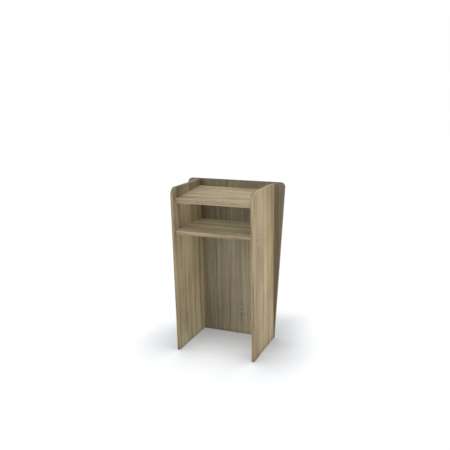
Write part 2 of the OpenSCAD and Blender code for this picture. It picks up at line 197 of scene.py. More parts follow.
class StageSettings(bpy.types.PropertyGroup):
    """Floor, light and camera."""

    floor_size: FloatProperty(
        name="Floor", description="Side of the square floor",
        unit="LENGTH", min=4, max=80, default=40.0)
    floor_tone: FloatProperty(
        name="Floor tone", description="Grey of the floor in bounced light",
        subtype="FACTOR", min=0, max=1, default=0.80)
    floor_bounce: FloatProperty(
        name="Floor bounce", description="Light that the floor gives the lectern beside what it reflects",
        min=0, max=2, default=0.92)
    near_bounce: FloatProperty(
        name="Near bounce", description="Part of the floor bounce that is left at the lectern's foot",
        subtype="FACTOR", min=0, max=1, default=0.45)
    floor_shade: FloatProperty(
        name="Floor shade", description="How bright the camera sees lamp light on the floor",
        min=0, max=4, default=0.36)
    floor_white: FloatProperty(
        name="Floor white", description="White that the camera sees in the floor away from the lectern",
        min=0, max=1, default=0.90)
    contact: FloatProperty(
        name="Contact shadow", description="How far the lectern's contact shadow reaches over the floor",
        unit="LENGTH", min=0.05, max=2, default=0.40)
    # A painted shadow on the floor behind the front panel
    behind_painted_shadow: FloatProperty(
        name="Shade behind", description="How much darker the floor is just behind the front panel",
        subtype="FACTOR", min=0, max=1, default=0.25)
    behind_middle: FloatProperty(
        name="Middle of the shade", description="How far behind the origin the shade's middle lies",
        unit="LENGTH", min=0, max=1, default=0.325)
    behind_reach: FloatProperty(
        name="Reach of the shade", description="Half the width of the shade behind the front panel",
        unit="LENGTH", min=0.1, max=1, default=0.28)
    behind_depth: FloatProperty(
        name="Depth of the shade", description="Half the depth of the shade behind the front panel",
        unit="LENGTH", min=0.05, max=1, default=0.175)
    behind_fade: FloatProperty(
        name="Fade of the shade", description="Width over which the shade fades out",
        unit="LENGTH", min=0.05, max=1, default=0.22)
    sky: FloatProperty(
        name="Sky", description="Strength of the even light from all round", min=0, max=2, default=0.04)
    top_light: FloatProperty(
        name="Top light", description="Strength of the soft lamp overhead", min=0, max=10, default=0.72)
    top_from: FloatVectorProperty(
        name="Top light from", description="Direction that the top light comes from",
        subtype="DIRECTION", size=3, default=(0.12, 0.25, 0.95))
    face_light: FloatProperty(
        name="Face light", description="Strength of the soft lamp before the reader's side",
        min=0, max=10, default=1.55)
    face_from: FloatVectorProperty(
        name="Face light from", description="Direction that the face light comes from",
        subtype="DIRECTION", size=3, default=(-0.35, -0.93, 0.10))
    back_light: FloatProperty(
        name="Back light", description="Strength of the soft lamp before the audience's side",
        min=0, max=10, default=1.30)
    back_from: FloatVectorProperty(
        name="Back light from", description="Direction that the back light comes from",
        subtype="DIRECTION", size=3, default=(-0.60, 0.80, -0.02))
    softness: FloatProperty(
        name="Softness", description="Angle that each soft lamp spans in the sky",
        subtype="ANGLE", min=0, max=pi, default=radians(60))
    fill: FloatProperty(
        name="Fill", description="Strength of the shadowless light on the lectern from the right",
        min=0, max=10, default=0.84)
    fill_from: FloatVectorProperty(
        name="Fill from", description="Direction that the fill comes from",
        subtype="DIRECTION", size=3, default=(0.82, -0.16, 0.56))
    camera_place: FloatVectorProperty(
        name="Camera place", description="Where the camera stands",
        subtype="XYZ", unit="LENGTH", size=3, default=(1.4011, -3.1335, 1.6548))
    camera_pitch: FloatProperty(
        name="Pitch", description="How far the camera looks down",
        subtype="ANGLE", default=radians(15.93))
    camera_turn: FloatProperty(
        name="Turn", description="How far the camera turns left of straight ahead",
        subtype="ANGLE", default=radians(19.54))
    lens: FloatProperty(
        name="Lens", description="Focal length on a 36 mm sensor", min=10, max=200, default=43.30)
    shift: FloatVectorProperty(
        name="Shift", description="Shift of the frame, in parts of its width",
        size=2, default=(-0.0925, 0.0534))


# Shader tools

class Graph:
    """Adds and links the nodes of one shader tree."""

    def __init__(self, tree):
        self.tree = tree

    def feed(self, socket, value):
        """Links a socket to another, or sets its value."""
        if isinstance(value, bpy.types.NodeSocket):
            self.tree.links.new(value, socket)
        else:
            socket.default_value = value

    def add(self, kind, inputs=None, **settings):
        """Adds one node with these settings, its inputs fed by name or number."""
        node = self.tree.nodes.new(kind)
        for name, value in settings.items():
            setattr(node, name, value)
        for key, value in (inputs or {}).items():
            self.feed(node.inputs[key], value)
        return node

    def shared(self, name, build, **inputs):
        """Places the node group of that name, built the first time that it is asked for."""
        tree = bpy.data.node_groups.get(name) or build(name)
        return self.add("ShaderNodeGroup", inputs, node_tree=tree)

    def put_out(self, **outputs):
        """Feeds the outputs of a node group by name, and gives its finished tree."""
        self.add("NodeGroupOutput", outputs)
        return self.tree

    def math(self, operation, *values, clamp=False):
        """One sum on numbers."""
        node = self.add("ShaderNodeMath", dict(enumerate(values)), operation=operation, use_clamp=clamp)
        return node.outputs[0]

    def times(self, first, second):
        """The product of two numbers."""
        return self.math("MULTIPLY", first, second)

    def times_plus(self, first, second, third):
        """The product of two numbers, plus a third."""
        return self.math("MULTIPLY_ADD", first, second, third)

    def minus(self, first, second):
        """One number less another."""
        return self.math("SUBTRACT", first, second)

    def length(self, *parts):
        """The length of a vector with these two parts."""
        return self.math("SQRT", self.math("ADD", *(self.times(part, part) for part in parts)))

    def split(self, vector):
        """The three parts of a vector."""
        return self.add("ShaderNodeSeparateXYZ", {0: vector}).outputs[:]

    def join(self, x, y, z):
        """A vector from three parts."""
        return self.add("ShaderNodeCombineXYZ", {0: x, 1: y, 2: z}).outputs[0]

    def scaled(self, parts, factors):
        """A vector with each part multiplied by its factor."""
        return self.join(*(self.times(part, factor) for part, factor in zip(parts, factors)))

    def noise(self, vector, scale=1.0, detail=2.0, roughness=0.5):
        """Smooth noise from 0 to 1."""
        node = self.add("ShaderNodeTexNoise", {"Vector": vector, "Scale": scale, "Detail": detail,
                                               "Roughness": roughness})
        return node.outputs[0]

    def spread(self, value, low, high, to_low=0.0, to_high=1.0):
        """A value stretched from low..high to to_low..to_high, and held there."""
        inputs = {0: value, 1: low, 2: high, 3: to_low, 4: to_high}
        return self.add("ShaderNodeMapRange", inputs, clamp=True).outputs[0]

    def mix(self, factor, first, second, blend="MIX"):
        """Two colours mixed."""
        inputs = {0: factor, 6: first, 7: second}
        return self.add("ShaderNodeMix", inputs, data_type="RGBA", blend_type=blend).outputs[2]


def rgba(colour, tint=(1.0, 1.0, 1.0)):
    """A colour with full alpha, each part multiplied by its part of the tint."""
    return (*(part * share for part, share in zip(colour, tint)), 1.0)


def new_group(name, inputs, outputs):
    """The graph of a node group with these sockets, and its inputs by name."""
    tree = bpy.data.node_groups.new(name, "ShaderNodeTree")
    for way, sockets in (("INPUT", inputs), ("OUTPUT", outputs)):
        for socket, kind in sockets.items():
            tree.interface.new_socket(socket, in_out=way, socket_type="NodeSocket" + kind)
    graph = Graph(tree)
    return graph, {socket.name: socket for socket in graph.add("NodeGroupInput").outputs if socket.name}


def empty_graph(owner):
    """The emptied graph of a material or a world."""
    owner.use_nodes = True
    owner.node_tree.nodes.clear()
    return Graph(owner.node_tree)


def new_material(name):
    """An empty material, as (material, graph, its Principled BSDF)."""
    material = bpy.data.materials.new(name)
    graph = empty_graph(material)
    shader = graph.add("ShaderNodeBsdfPrincipled")
    graph.add("ShaderNodeOutputMaterial", {"Surface": shader.outputs[0]})
    return material, graph, shader


def place(graph):
    """The object coordinates, which are metres in the lectern's own frame."""
    return graph.add("ShaderNodeTexCoord").outputs["Object"]


def seen_by(graph, *rays):
    """1 for rays of these kinds, and 0 for others."""
    path = graph.add("ShaderNodeLightPath")
    seen = path.outputs[rays[0]]
    for ray in rays[1:]:
        seen = graph.math("MAXIMUM", seen, path.outputs[ray])
    return seen


def finish_surface(graph, shader, colour, rough, height, dent):
    """Feeds a shader its colour and roughness, and its relief from a height, dent metres deep."""
    relief = graph.add("ShaderNodeBump", {"Height": height, "Distance": dent, "Strength": 1.0})
    for name, value in (("Base Color", colour), ("Roughness", rough), ("Normal", relief.outputs[0])):
        graph.feed(shader.inputs[name], value)


def dress(node_names, material):
    """Gives CAD nodes a material."""
    for name in node_names:
        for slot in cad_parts[name].material_slots:
            slot.material = material


# Node groups

def build_oak_print(name):
    """The wood print: tone streaks, hue bands, arched growth rings, a vein, one knot, and pores."""
    graph, given = new_group(
        name,
        {"Board": "Vector", "Seed": "Float", "Vein": "Float", "Knot": "Vector", "Light": "Color",
         "Brown": "Color", "Grey": "Color", "Pore": "Color"},
        {"Color": "Color", "Height": "Float", "Roughness": "Float"})
    across, along, through = graph.split(given["Board"])
    layers_per_metre = 60.0
    layer = graph.times_plus(through, layers_per_metre, given["Seed"])

    # The knot pushes the grain aside and adds closed rings round itself
    knot_stretch, knot_push, pull_fall, ring_shake = 4.0, 0.55, 0.35, 1.1
    knot_across, knot_along, knot_size = graph.split(given["Knot"])
    off_across = graph.minus(across, knot_across)
    off_along = graph.times(graph.minus(along, knot_along), 1 / knot_stretch)
    near = graph.math("DIVIDE", graph.length(off_across, off_along), knot_size)
    pull = graph.math("EXPONENT", graph.times(graph.times(near, near), -pull_fall))
    core = graph.spread(near, 0.15, 0.60, 1.0, 0.0)
    shake = graph.noise(graph.scaled((across, along, layer), (160.0, 60.0, 1.0)), detail=1.0)
    turns = graph.times_plus(shake, ring_shake, near)
    knot_rings = graph.times(graph.spread(graph.math("COSINE", graph.times(turns, 2 * pi)), 0.0, 0.9),
                             graph.spread(near, 1.0, 5.0, 1.0, 0.0))

    # The grain wanders gently along the board
    slow_sway, quick_sway = 0.050, 0.010
    slow = graph.noise(graph.scaled((across, along, layer), (2.5, 1.1, 1.0)))
    quick = graph.noise(graph.scaled((across, along, layer), (16.0, 7.0, 1.0)))
    sway = graph.times_plus(graph.minus(slow, 0.5), slow_sway,
                            graph.times(graph.minus(quick, 0.5), quick_sway))
    pushed = graph.times_plus(graph.times(off_across, pull), -knot_push, across)
    grain = graph.math("ADD", pushed, sway)

    def streaks(wide, long, detail, shift):
        """Noise drawn out along the grain, with so many streaks in a metre across and along it."""
        parts = (grain, along, graph.math("ADD", layer, shift))
        return graph.noise(graph.scaled(parts, (wide, long, 1.0)), detail=detail)

    broad = streaks(15.0, 0.45, 1.0, 0.0)
    medium = streaks(52.0, 1.2, 2.0, 11.0)
    narrow = streaks(135.0, 2.2, 2.0, 67.0)
    fine = streaks(420.0, 8.0, 2.0, 23.0)
    hue = streaks(30.0, 0.4, 1.0, 37.0)
    lines = streaks(85.0, 0.9, 1.0, 83.0)

    # Growth rings of a slightly conical trunk, cut lengthwise beside the vein
    heart_depth, trunk_taper, knot_bend, unevenness = 0.040, 0.035, 0.016, 0.006
    ring_width, ring_sharpness = 0.0105, 2.5
    from_heart = graph.minus(grain, given["Vein"])
    radius = graph.math("SQRT", graph.times_plus(from_heart, from_heart, heart_depth ** 2))
    ring_place = graph.times_plus(along, -trunk_taper, radius)
    ring_place = graph.times_plus(pull, knot_bend, ring_place)
    ring_place = graph.times_plus(medium, unevenness, ring_place)
    wave = graph.math("SINE", graph.times(ring_place, 2 * pi / ring_width))
    rings = graph.math("POWER", graph.times_plus(wave, 0.5, 0.5), ring_sharpness)
    rings = graph.times(rings, graph.spread(streaks(9.0, 0.9, 1.0, 51.0), 0.42, 0.62))
    vein_shake = 0.004
    off_vein = graph.math("ABSOLUTE", graph.times_plus(shake, vein_shake, from_heart))
    vein = graph.times(graph.spread(off_vein, 0.001, 0.007, 1.0, 0.0),
                       graph.spread(streaks(2.0, 3.0, 1.0, 91.0), 0.40, 0.55))

    # Short open pores, closer together in some stretches than in others
    pore_drift, pore_starts, pore_full = 0.22, 0.69, 0.76
    pore_noise = graph.noise(graph.scaled((grain, along, layer), (1150.0, 34.0, 3.0)), detail=1.0)
    pore_level = graph.times_plus(streaks(120.0, 9.0, 1.0, 0.0), pore_drift, pore_noise)
    pores = graph.spread(pore_level, pore_starts, pore_full)

    # The streaks' shares in the tone, and then the marks over it
    tone = graph.times(graph.spread(streaks(5.0, 3.2, 1.0, 0.0), 0.34, 0.66), 0.20)
    for streak, share in ((broad, 0.24), (medium, 0.33), (narrow, 0.20), (fine, 0.09)):
        tone = graph.times_plus(graph.spread(streak, 0.36, 0.64), share, tone)
    colour = graph.mix(graph.spread(tone, 0.18, 0.86), given["Light"], given["Brown"])
    grey = graph.mix(graph.spread(tone, 0.15, 0.85), given["Light"], given["Grey"])
    colour = graph.mix(graph.spread(hue, 0.40, 0.62, 0.0, 0.90), colour, grey)
    marks = (
        (graph.spread(lines, 0.60, 0.72), 0.60, given["Brown"]),
        (rings, 0.34, given["Brown"]),
        (vein, 0.60, given["Pore"]),
        (knot_rings, 0.75, given["Pore"]),
        (pores, 0.42, given["Pore"]),
        (core, 0.75, given["Pore"]))
    for mask, share, mark in marks:
        colour = graph.mix(graph.times(mask, share), colour, mark)
    return graph.put_out(
        Color=colour, Height=graph.times_plus(fine, 0.25, graph.times(pores, -1.0)),
        Roughness=graph.times_plus(pores, 0.12, graph.spread(medium, 0.2, 0.8, 0.50, 0.58)))


def build_chipboard(name):
    """Raw chipboard in a sawn edge or a bore: coarse chips in the middle, fine ones near the faces."""
    graph, given = new_group(
        name, {"Board": "Vector", "Depth": "Float", "Light": "Color", "Dark": "Color"},
        {"Color": "Color", "Height": "Float"})
    gap_tone, gap_share, core_begins, core_full = (0.07, 0.04, 0.02), 0.65, 0.0025, 0.0040
    flattened = graph.scaled(graph.split(given["Board"]), (1.0, 0.75, 2.6))

    def chips(scale):
        """One size of chips, so many in a metre, as (shade, edge)."""
        cells = graph.add("ShaderNodeTexVoronoi", {"Vector": flattened, "Scale": scale, "Randomness": 1.0})
        return graph.split(cells.outputs["Color"])[0], cells.outputs["Distance"]

    core = graph.spread(given["Depth"], core_begins, core_full)
    shade, edge = (graph.times_plus(core, graph.minus(coarse, fine), fine)
                   for coarse, fine in zip(chips(210.0), chips(620.0)))
    gaps = graph.spread(edge, 0.52, 0.78)
    colour = graph.mix(shade, given["Light"], given["Dark"])
    colour = graph.mix(graph.times(gaps, gap_share), colour, rgba(gap_tone))
    return graph.put_out(Color=colour, Height=graph.times_plus(gaps, -1.0, shade))


def build_handling(name):
    """Faint smudges and dust from use, as a mask from 0 to 1."""
    graph, given = new_group(name, {"Vector": "Vector", "Size": "Float"}, {"Mask": "Float"})
    specks_per_patch = 9.0
    scale = graph.math("DIVIDE", 1.0, given["Size"])
    patches = graph.noise(given["Vector"], scale=scale, detail=3.0, roughness=0.55)
    specks = graph.noise(given["Vector"], scale=graph.times(scale, specks_per_patch), detail=2.0)
    return graph.put_out(
        Mask=graph.times(graph.spread(patches, 0.45, 0.70), graph.spread(specks, 0.30, 0.65)))


def build_edge_wear(name):
    """Rubbed corners, as a mask from 0 to 1 that breaks up along the edge."""
    graph, given = new_group(
        name, {"Vector": "Vector", "Distance": "Float", "Width": "Float"}, {"Mask": "Float"})
    least_reach = 0.00005
    rubbed = graph.noise(given["Vector"], scale=38.0, detail=3.0)
    reach = graph.times(given["Width"], graph.spread(rubbed, 0.35, 0.70))
    left = graph.math("DIVIDE", given["Distance"], graph.math("ADD", reach, least_reach))
    return graph.put_out(Mask=graph.math("SUBTRACT", 1.0, left, clamp=True))


def build_foot_scuffs(name):
    """Scuffs and floor dirt on the lowest few centimetres, as a mask from 0 to 1."""
    graph, given = new_group(name, {"Vector": "Vector"}, {"Mask": "Float"})
    unevenness, full_below, none_above = 0.020, 0.008, 0.050
    parts = graph.split(given["Vector"])
    patches = graph.noise(graph.scaled(parts, (60.0, 60.0, 25.0)), detail=3.0)
    low = graph.spread(graph.times_plus(patches, unevenness, parts[2]), full_below, none_above, 1.0, 0.0)
    return graph.put_out(Mask=graph.times(low, graph.spread(patches, 0.2, 0.6, 0.5, 1.0)))


def build_painted_recess_shade(name):
    """Painted shade on the walls round the desk, most on the side walls, and on the front panel outside the
    side panels, as a mask from 0 to 1."""
    graph, given = new_group(name, {"Vector": "Vector"}, {"Mask": "Float"})
    front_wall_share, wing_shade_share, past_wall, fade = 0.6, 0.55, 0.004, 0.002
    inside = Vector(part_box("desk_board")[1])
    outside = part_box("right_side_panel")[1][0]
    side, back, height = graph.split(given["Vector"])
    reach = graph.math("ABSOLUTE", side)
    over_slope = graph.times_plus(height, OFF_SLOPE[2], graph.times(back, OFF_SLOPE[1]))
    desk_level = Vector(OFF_SLOPE).dot((0.0, inside.y, inside.z))

    # The walls' mask starts about the desk's face and ends within the walls' thickness
    walls = graph.times(graph.spread(over_slope, desk_level - 0.004, desk_level + 0.008),
                        graph.spread(reach, inside.x + past_wall, inside.x + past_wall + fade, 1.0, 0.0))
    side_walls = graph.spread(reach, inside.x - 0.003, inside.x - 0.001, front_wall_share, 1.0)
    walls = graph.times(walls, side_walls)
    # Painted shade on the front panel outside the side panels
    dust = graph.spread(reach, outside, outside + 0.001, 0.0, wing_shade_share)
    before_back = graph.spread(back, inside.y + past_wall, inside.y + past_wall + fade, 1.0, 0.0)
    mask = graph.times(graph.math("MAXIMUM", walls, dust), before_back)
    patches = graph.noise(given["Vector"], scale=22.0, detail=3.0)
    return graph.put_out(Mask=graph.times(mask, graph.spread(patches, 0.3, 0.7, 0.75, 1.0)))


def build_band_run(name):
    """How far a point lies along a strip that runs up, round a corner and inwards."""
    graph, given = new_group(
        name, {"Inward": "Float", "Up": "Float", "Radius": "Float"}, {"Run": "Float"})
    outward = graph.math("MAXIMUM", graph.times(given["Inward"], -1.0), 0.0)
    turn = graph.math("ARCTAN2", graph.math("MAXIMUM", given["Up"], 0.0), outward)
    straight = graph.math("ADD", graph.math("MINIMUM", given["Up"], 0.0),
                          graph.math("MAXIMUM", given["Inward"], 0.0))
    return graph.put_out(Run=graph.times_plus(turn, given["Radius"], straight))


def build_moulded(name):
    """The fine spark-eroded texture of a moulded part."""
    graph, given = new_group(name, {"Vector": "Vector"}, {"Height": "Float", "Shade": "Float"})
    grit = graph.noise(given["Vector"], scale=2600.0, detail=2.0)
    flow = graph.noise(given["Vector"], scale=160.0, detail=2.0)
    return graph.put_out(Height=grit, Shade=graph.times_plus(grit, 0.5, graph.times(flow, 0.5)))


# Materials

def own_coordinates(graph, name, across, along):
    """Coordinates across and along a node, and through it, from its middle."""
    across, along = Vector(across), Vector(along)
    low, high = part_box(name)
    turn = Matrix((across, along, across.cross(along)))
    middle = (Vector(low) + Vector(high)) / 2
    lay = graph.add("ShaderNodeMapping", {"Vector": place(graph), "Location": -(turn @ middle),
                                          "Rotation": turn.to_euler()})
    return lay.outputs[0]


def half_extent(name, direction):
    """Half of how far a node reaches in a direction, from its own points."""
    places = [direction.dot(vertex.co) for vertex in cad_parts[name].data.vertices]
    return (max(places) - min(places)) / 2


def print_node(graph, looks, vector, seed, tint, contrast, vein, knot):
    """The wood print on one board or strip, in its own tint and contrast."""
    streaks = [Vector(tone) for tone in (looks.light_tone, looks.brown_tone, looks.grey_tone)]
    middle = sum(streaks, Vector()) / len(streaks)
    light, brown, grey, pore = (rgba(middle + (tone - middle) * contrast, tint)
                                for tone in (*streaks, Vector(looks.pore_tone)))
    return graph.shared("Oak print", build_oak_print, Board=vector, Seed=seed, Vein=vein, Knot=knot,
                        Light=light, Brown=brown, Grey=grey, Pore=pore)


def darkened(graph, looks, colour, name, build, share):
    """A colour darkened towards the pores' tone where a group's mask says, by this share."""
    mask = graph.shared(name, build, Vector=place(graph)).outputs[0]
    return graph.mix(graph.times(mask, share), colour, rgba(looks.pore_tone))


def board_material(name, looks):
    """Printed facings with raw chipboard between them, for one board."""
    facing_fade, smudge_size, dent = 0.00004, 0.16, 0.00006
    raw_roughness, smudge_roughness = 0.9, 0.06
    grain = BOARDS[name]
    material, graph, shader = new_material("Board " + name)
    vector = own_coordinates(graph, name, grain.across, grain.along)
    half_thickness = half_extent(name, Vector(grain.across).cross(Vector(grain.along)))
    depth = graph.minus(half_thickness, graph.math("ABSOLUTE", graph.split(vector)[2]))
    raw = graph.spread(depth, looks.facing, looks.facing + facing_fade)
    face = print_node(graph, looks, vector, grain.seed, grain.tint, grain.contrast, grain.vein, grain.knot)
    chips = graph.shared("Chipboard", build_chipboard, Board=vector, Depth=depth,
                         Light=rgba(looks.chip_light), Dark=rgba(looks.chip_dark))
    smudge = graph.shared("Handling", build_handling, Vector=place(graph), Size=smudge_size).outputs[0]
    colour = graph.mix(raw, face.outputs["Color"], chips.outputs["Color"])
    rough = graph.times_plus(smudge, smudge_roughness, face.outputs["Roughness"])
    rough = graph.math("MAXIMUM", rough, graph.times(raw, raw_roughness))
    height = graph.times_plus(raw, graph.minus(chips.outputs["Height"], face.outputs["Height"]),
                              face.outputs["Height"])
    colour = darkened(graph, looks, colour, "Foot scuffs", build_foot_scuffs, looks.scuffs)
    # Painted shade round the desk and on the front panel outside the side panels
    if name.endswith("_panel"):
        colour = darkened(graph, looks, colour, "Painted recess shade", build_painted_recess_shade, looks.recess_shade_share)
    finish_surface(graph, shader, colour, rough, height, dent)
    shader.inputs["Specular IOR Level"].default_value = 0.35
    return material


def band_finish(graph, shader, looks, name, across, run, half_width, painted_top_share=None):
    """The finish of an edge band. across and run say where a point lies over the strip's width and
    along its length, and the top share is 1 along the top stretch of a strip with a corner, where painted
    light or shade is laid on."""
    wear_width, wear_share, wear_roughness, smoother, dent = 0.0012, 0.5, -0.10, 0.06, 0.00004
    strip = STRIPS[name]

    # The vein and the knot lie off the strip
    face = print_node(graph, looks, graph.join(across, run, 0.0), strip.seed, strip.tint,
                      contrast=1.0, vein=0.4, knot=(0.5, 0.0, 0.01))
    to_edge = graph.minus(half_width, graph.math("ABSOLUTE", across))
    wear = graph.shared("Edge wear", build_edge_wear, Vector=place(graph), Distance=to_edge,
                        Width=wear_width).outputs[0]
    rubbed = graph.mix(0.5, face.outputs["Color"], rgba(looks.light_tone, strip.tint))
    colour = graph.mix(graph.times(wear, wear_share), face.outputs["Color"], rubbed)
    # Painted light or shade along the top stretch of a strip with a corner
    if painted_top_share is not None:
        colour = graph.mix(painted_top_share, colour, rgba((strip.top,) * 3), blend="MULTIPLY")
    colour = darkened(graph, looks, colour, "Foot scuffs", build_foot_scuffs, looks.scuffs)
    rough = graph.times_plus(wear, wear_roughness, graph.minus(face.outputs["Roughness"], smoother))
    finish_surface(graph, shader, colour, rough, face.outputs["Height"], dent)
    shader.inputs["Specular IOR Level"].default_value = 0.25


def corner_band_finish(graph, shader, looks, name, inward, up, across, radius, half_width):
    """The finish of the band of a board with a rounded corner. inward and up say how far a point lies
    from the corner's own middle, and across how far from the middle of the strip's width."""
    run = graph.shared("Band run", build_band_run, Inward=inward, Up=up, Radius=radius).outputs[0]
    band_finish(graph, shader, looks, name, across, run, half_width,
                graph.spread(run, 0.0, radius * pi / 2))


def metal_material(name, colour, scale, smoothest, roughest, dent):
    """Cast or plated metal with a tumbled or drawn skin."""
    dull_share = 0.72
    material, graph, shader = new_material(name)
    where = place(graph)
    patches = graph.noise(where, scale=scale / 8, detail=3.0)
    grit = graph.noise(where, scale=scale, detail=2.0)
    skin = graph.mix(graph.spread(patches, 0.35, 0.75), rgba(colour), rgba(colour, (dull_share,) * 3))
    rough = graph.spread(patches, 0.3, 0.7, smoothest, roughest)
    finish_surface(graph, shader, skin, rough, grit, dent)
    shader.inputs["Metallic"].default_value = 1.0
    return material


def moulded_material(name, clean, worn, roughness, floor_wear=False):
    """Moulded plastic with a fine texture, rubbed by use."""
    dark_share, smudge_size, wear_height, dent = 0.82, 0.012, 0.0012, 0.00002
    material, graph, shader = new_material(name)
    where = place(graph)
    skin = graph.shared("Moulded", build_moulded, Vector=where)
    smudge = graph.shared("Handling", build_handling, Vector=where, Size=smudge_size).outputs[0]
    if floor_wear:
        smudge = graph.times(graph.spread(graph.split(where)[2], 0.0, wear_height, 1.0, 0.15), smudge)
    base = graph.mix(graph.spread(skin.outputs["Shade"], 0.3, 0.7),
                     rgba(clean, (dark_share,) * 3), rgba(clean))
    colour = graph.mix(graph.times(smudge, 0.6), base, rgba(worn))
    rough = graph.times_plus(smudge, 0.15, roughness)
    finish_surface(graph, shader, colour, rough, skin.outputs["Height"], dent)
    return material


def beech_material(looks):
    """Bare beech: a fine mottle of fibres with darker flecks."""
    dark_share, dent = 0.62, 0.00005
    material, graph, shader = new_material("Beech dowels")
    where = place(graph)
    fibres = graph.noise(where, scale=900.0, detail=2.0)
    flecks = graph.spread(graph.noise(where, scale=700.0, detail=1.0), 0.60, 0.68)
    dark = rgba(looks.beech, (dark_share,) * 3)
    colour = graph.mix(graph.spread(fibres, 0.35, 0.75, 0.0, 0.45), rgba(looks.beech), dark)
    colour = graph.mix(graph.times(flecks, 0.5), colour, dark)
    finish_surface(graph, shader, colour, graph.spread(fibres, 0.3, 0.7, 0.62, 0.74), fibres, dent)
    return material


# Pieces

def points_of(geometry):
    """The points among what a mesh operator gives back."""
    return [part for part in geometry if isinstance(part, bmesh.types.BMVert)]


def finish_piece(name, bm, material, crease=radians(30)):
    """A finished object from a bmesh, smooth up to the crease angle and riding on the lectern."""
    bmesh.ops.recalc_face_normals(bm, faces=bm.faces)
    for face in bm.faces:
        face.smooth = True
    for edge in bm.edges:
        edge.smooth = edge.is_manifold and edge.calc_face_angle(0.0) < crease
    mesh = bpy.data.meshes.new(name)
    bm.to_mesh(mesh)
    bm.free()
    mesh.materials.append(material)
    piece = bpy.data.objects.new(name, mesh)
    bpy.context.scene.collection.objects.link(piece)
    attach(piece, BODY)
    return piece


class LECTERN_OT_boards(bpy.types.Operator):
    """Dress the six boards in wood print, with raw chipboard in edges and bores"""

    bl_idname = "lectern.boards"
    bl_label = "Boards"

    def execute(self, context):
        for name in BOARDS:
            dress([name], board_material(name, context.scene.lectern_board))
        return {"FINISHED"}


class LECTERN_OT_edge_bands(bpy.types.Operator):
    """Dress the bands of the side panels, the shelf and the paper stop"""

    bl_idname = "lectern.edge_bands"
    bl_label = "Edge bands"

    def execute(self, context):
        looks = context.scene.lectern_board
        for name in ("left_side_edge_band", "right_side_edge_band"):
            low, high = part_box(name)
            material, graph, shader = new_material("Band " + name)
            side, back, height = graph.split(place(graph))
            corner_band_finish(
                graph, shader, looks, name,
                inward=graph.minus(back, low[1] + SIDE_CORNER_RADIUS),
                up=graph.minus(height, high[2] - SIDE_CORNER_RADIUS),
                across=graph.minus(side, (low[0] + high[0]) / 2),
                radius=SIDE_CORNER_RADIUS, half_width=(high[0] - low[0]) / 2)
            dress([name], material)
        for name, over in (("shelf_edge_band", UP), ("paper_stop_edge_bands", UP_SLOPE)):
            material, graph, shader = new_material("Band " + name)
            across, run, _ = graph.split(own_coordinates(graph, name, over, RIGHT))
            band_finish(graph, shader, looks, name, across, run, half_extent(name, Vector(over)))
            dress([name], material)
        return {"FINISHED"}


class LECTERN_OT_panel_band(bpy.types.Operator):
    """Bend the strip round the front panel's slanted edges and upper corners"""

    bl_idname = "lectern.panel_band"
    bl_label = "Front panel band"

    def execute(self, context):
        size = context.scene.lectern_panel_band
        low, high = (Vector(corner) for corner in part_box("front_panel_edge_band"))
        rise, width, join_distance = high.z - low.z, high.y - low.y, 1e-6
        lean = Vector((size.top_reach - size.foot_reach, 0.0, rise))
        taper = Vector(UP).angle(lean)
        corner_z = high.z - size.corner_radius
        corner_x = size.foot_reach + (corner_z - low.z) * lean.x / rise - size.corner_radius / cos(taper)
        centre = Vector((corner_x, low.y, corner_z))
        material, graph, shader = new_material("Band front_panel_edge_band")
        side, back, height = graph.split(place(graph))
        corner_band_finish(
            graph, shader, context.scene.lectern_board, "front_panel_edge_band",
            inward=graph.minus(corner_x, graph.math("ABSOLUTE", side)),
            up=graph.minus(height, corner_z),
            across=graph.minus(back, (low.y + high.y) / 2),
            radius=size.corner_radius, half_width=width / 2)

        # The section stands square to the slanted edge, where the corner begins
        bm = bmesh.new()
        bmesh.ops.create_grid(bm, x_segments=1, y_segments=1, size=0.5)
        bmesh.ops.transform(bm, verts=bm.verts, matrix=(
            Matrix.Translation((size.corner_radius - size.thickness / 2, width / 2, 0.0))
            @ Matrix.Diagonal((size.thickness, width, 1.0, 1.0))))
        outer = [v for v in bm.verts if v.co.x > size.corner_radius - size.thickness / 2]
        bmesh.ops.bevel(bm, geom=outer, affect="VERTICES", offset=size.rounding,
                        segments=size.rounding_steps, profile=0.5, material=-1)
        bmesh.ops.rotate(bm, verts=bm.verts, cent=(0.0, 0.0, 0.0), matrix=Matrix.Rotation(taper, 3, "Y"))
        bmesh.ops.translate(bm, verts=bm.verts, vec=centre)
        bmesh.ops.delete(bm, geom=bm.faces[:], context="FACES_ONLY")
        start = bm.edges[:]

        # Down the slanted edge, past the foot, and cut level there
        run = bmesh.ops.extrude_edge_only(bm, edges=start)["geom"]
        down = -lean.normalized() * (rise + size.thickness)
        bmesh.ops.translate(bm, verts=points_of(run), vec=down)
        bmesh.ops.bisect_plane(bm, geom=bm.verts[:] + bm.edges[:] + bm.faces[:], plane_co=low,
                               plane_no=(0.0, 0.0, -1.0), clear_outer=True)

        # Round the corner, then along the top edge to the middle
        turned = bmesh.ops.spin(bm, geom=start, cent=centre, axis=(0.0, -1.0, 0.0), dvec=(0.0, 0.0, 0.0),
                                angle=pi / 2 + taper, steps=size.corner_steps, use_merge=False)["geom_last"]
        last = [e for e in turned if isinstance(e, bmesh.types.BMEdge)]
        run = bmesh.ops.extrude_edge_only(bm, edges=last)["geom"]
        bmesh.ops.translate(bm, verts=points_of(run), vec=(-corner_x, 0.0, 0.0))
        bmesh.ops.mirror(bm, geom=bm.verts[:] + bm.edges[:] + bm.faces[:], axis="X",
                         merge_dist=join_distance)
        bmesh.ops.remove_doubles(bm, verts=bm.verts, dist=join_distance)
        bmesh.ops.holes_fill(bm, edges=[e for e in bm.edges if e.is_boundary], sides=0)
        piece = finish_piece("front_panel_band", bm, material)
        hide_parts("front_panel_edge_band")
        return {"FINISHED"}


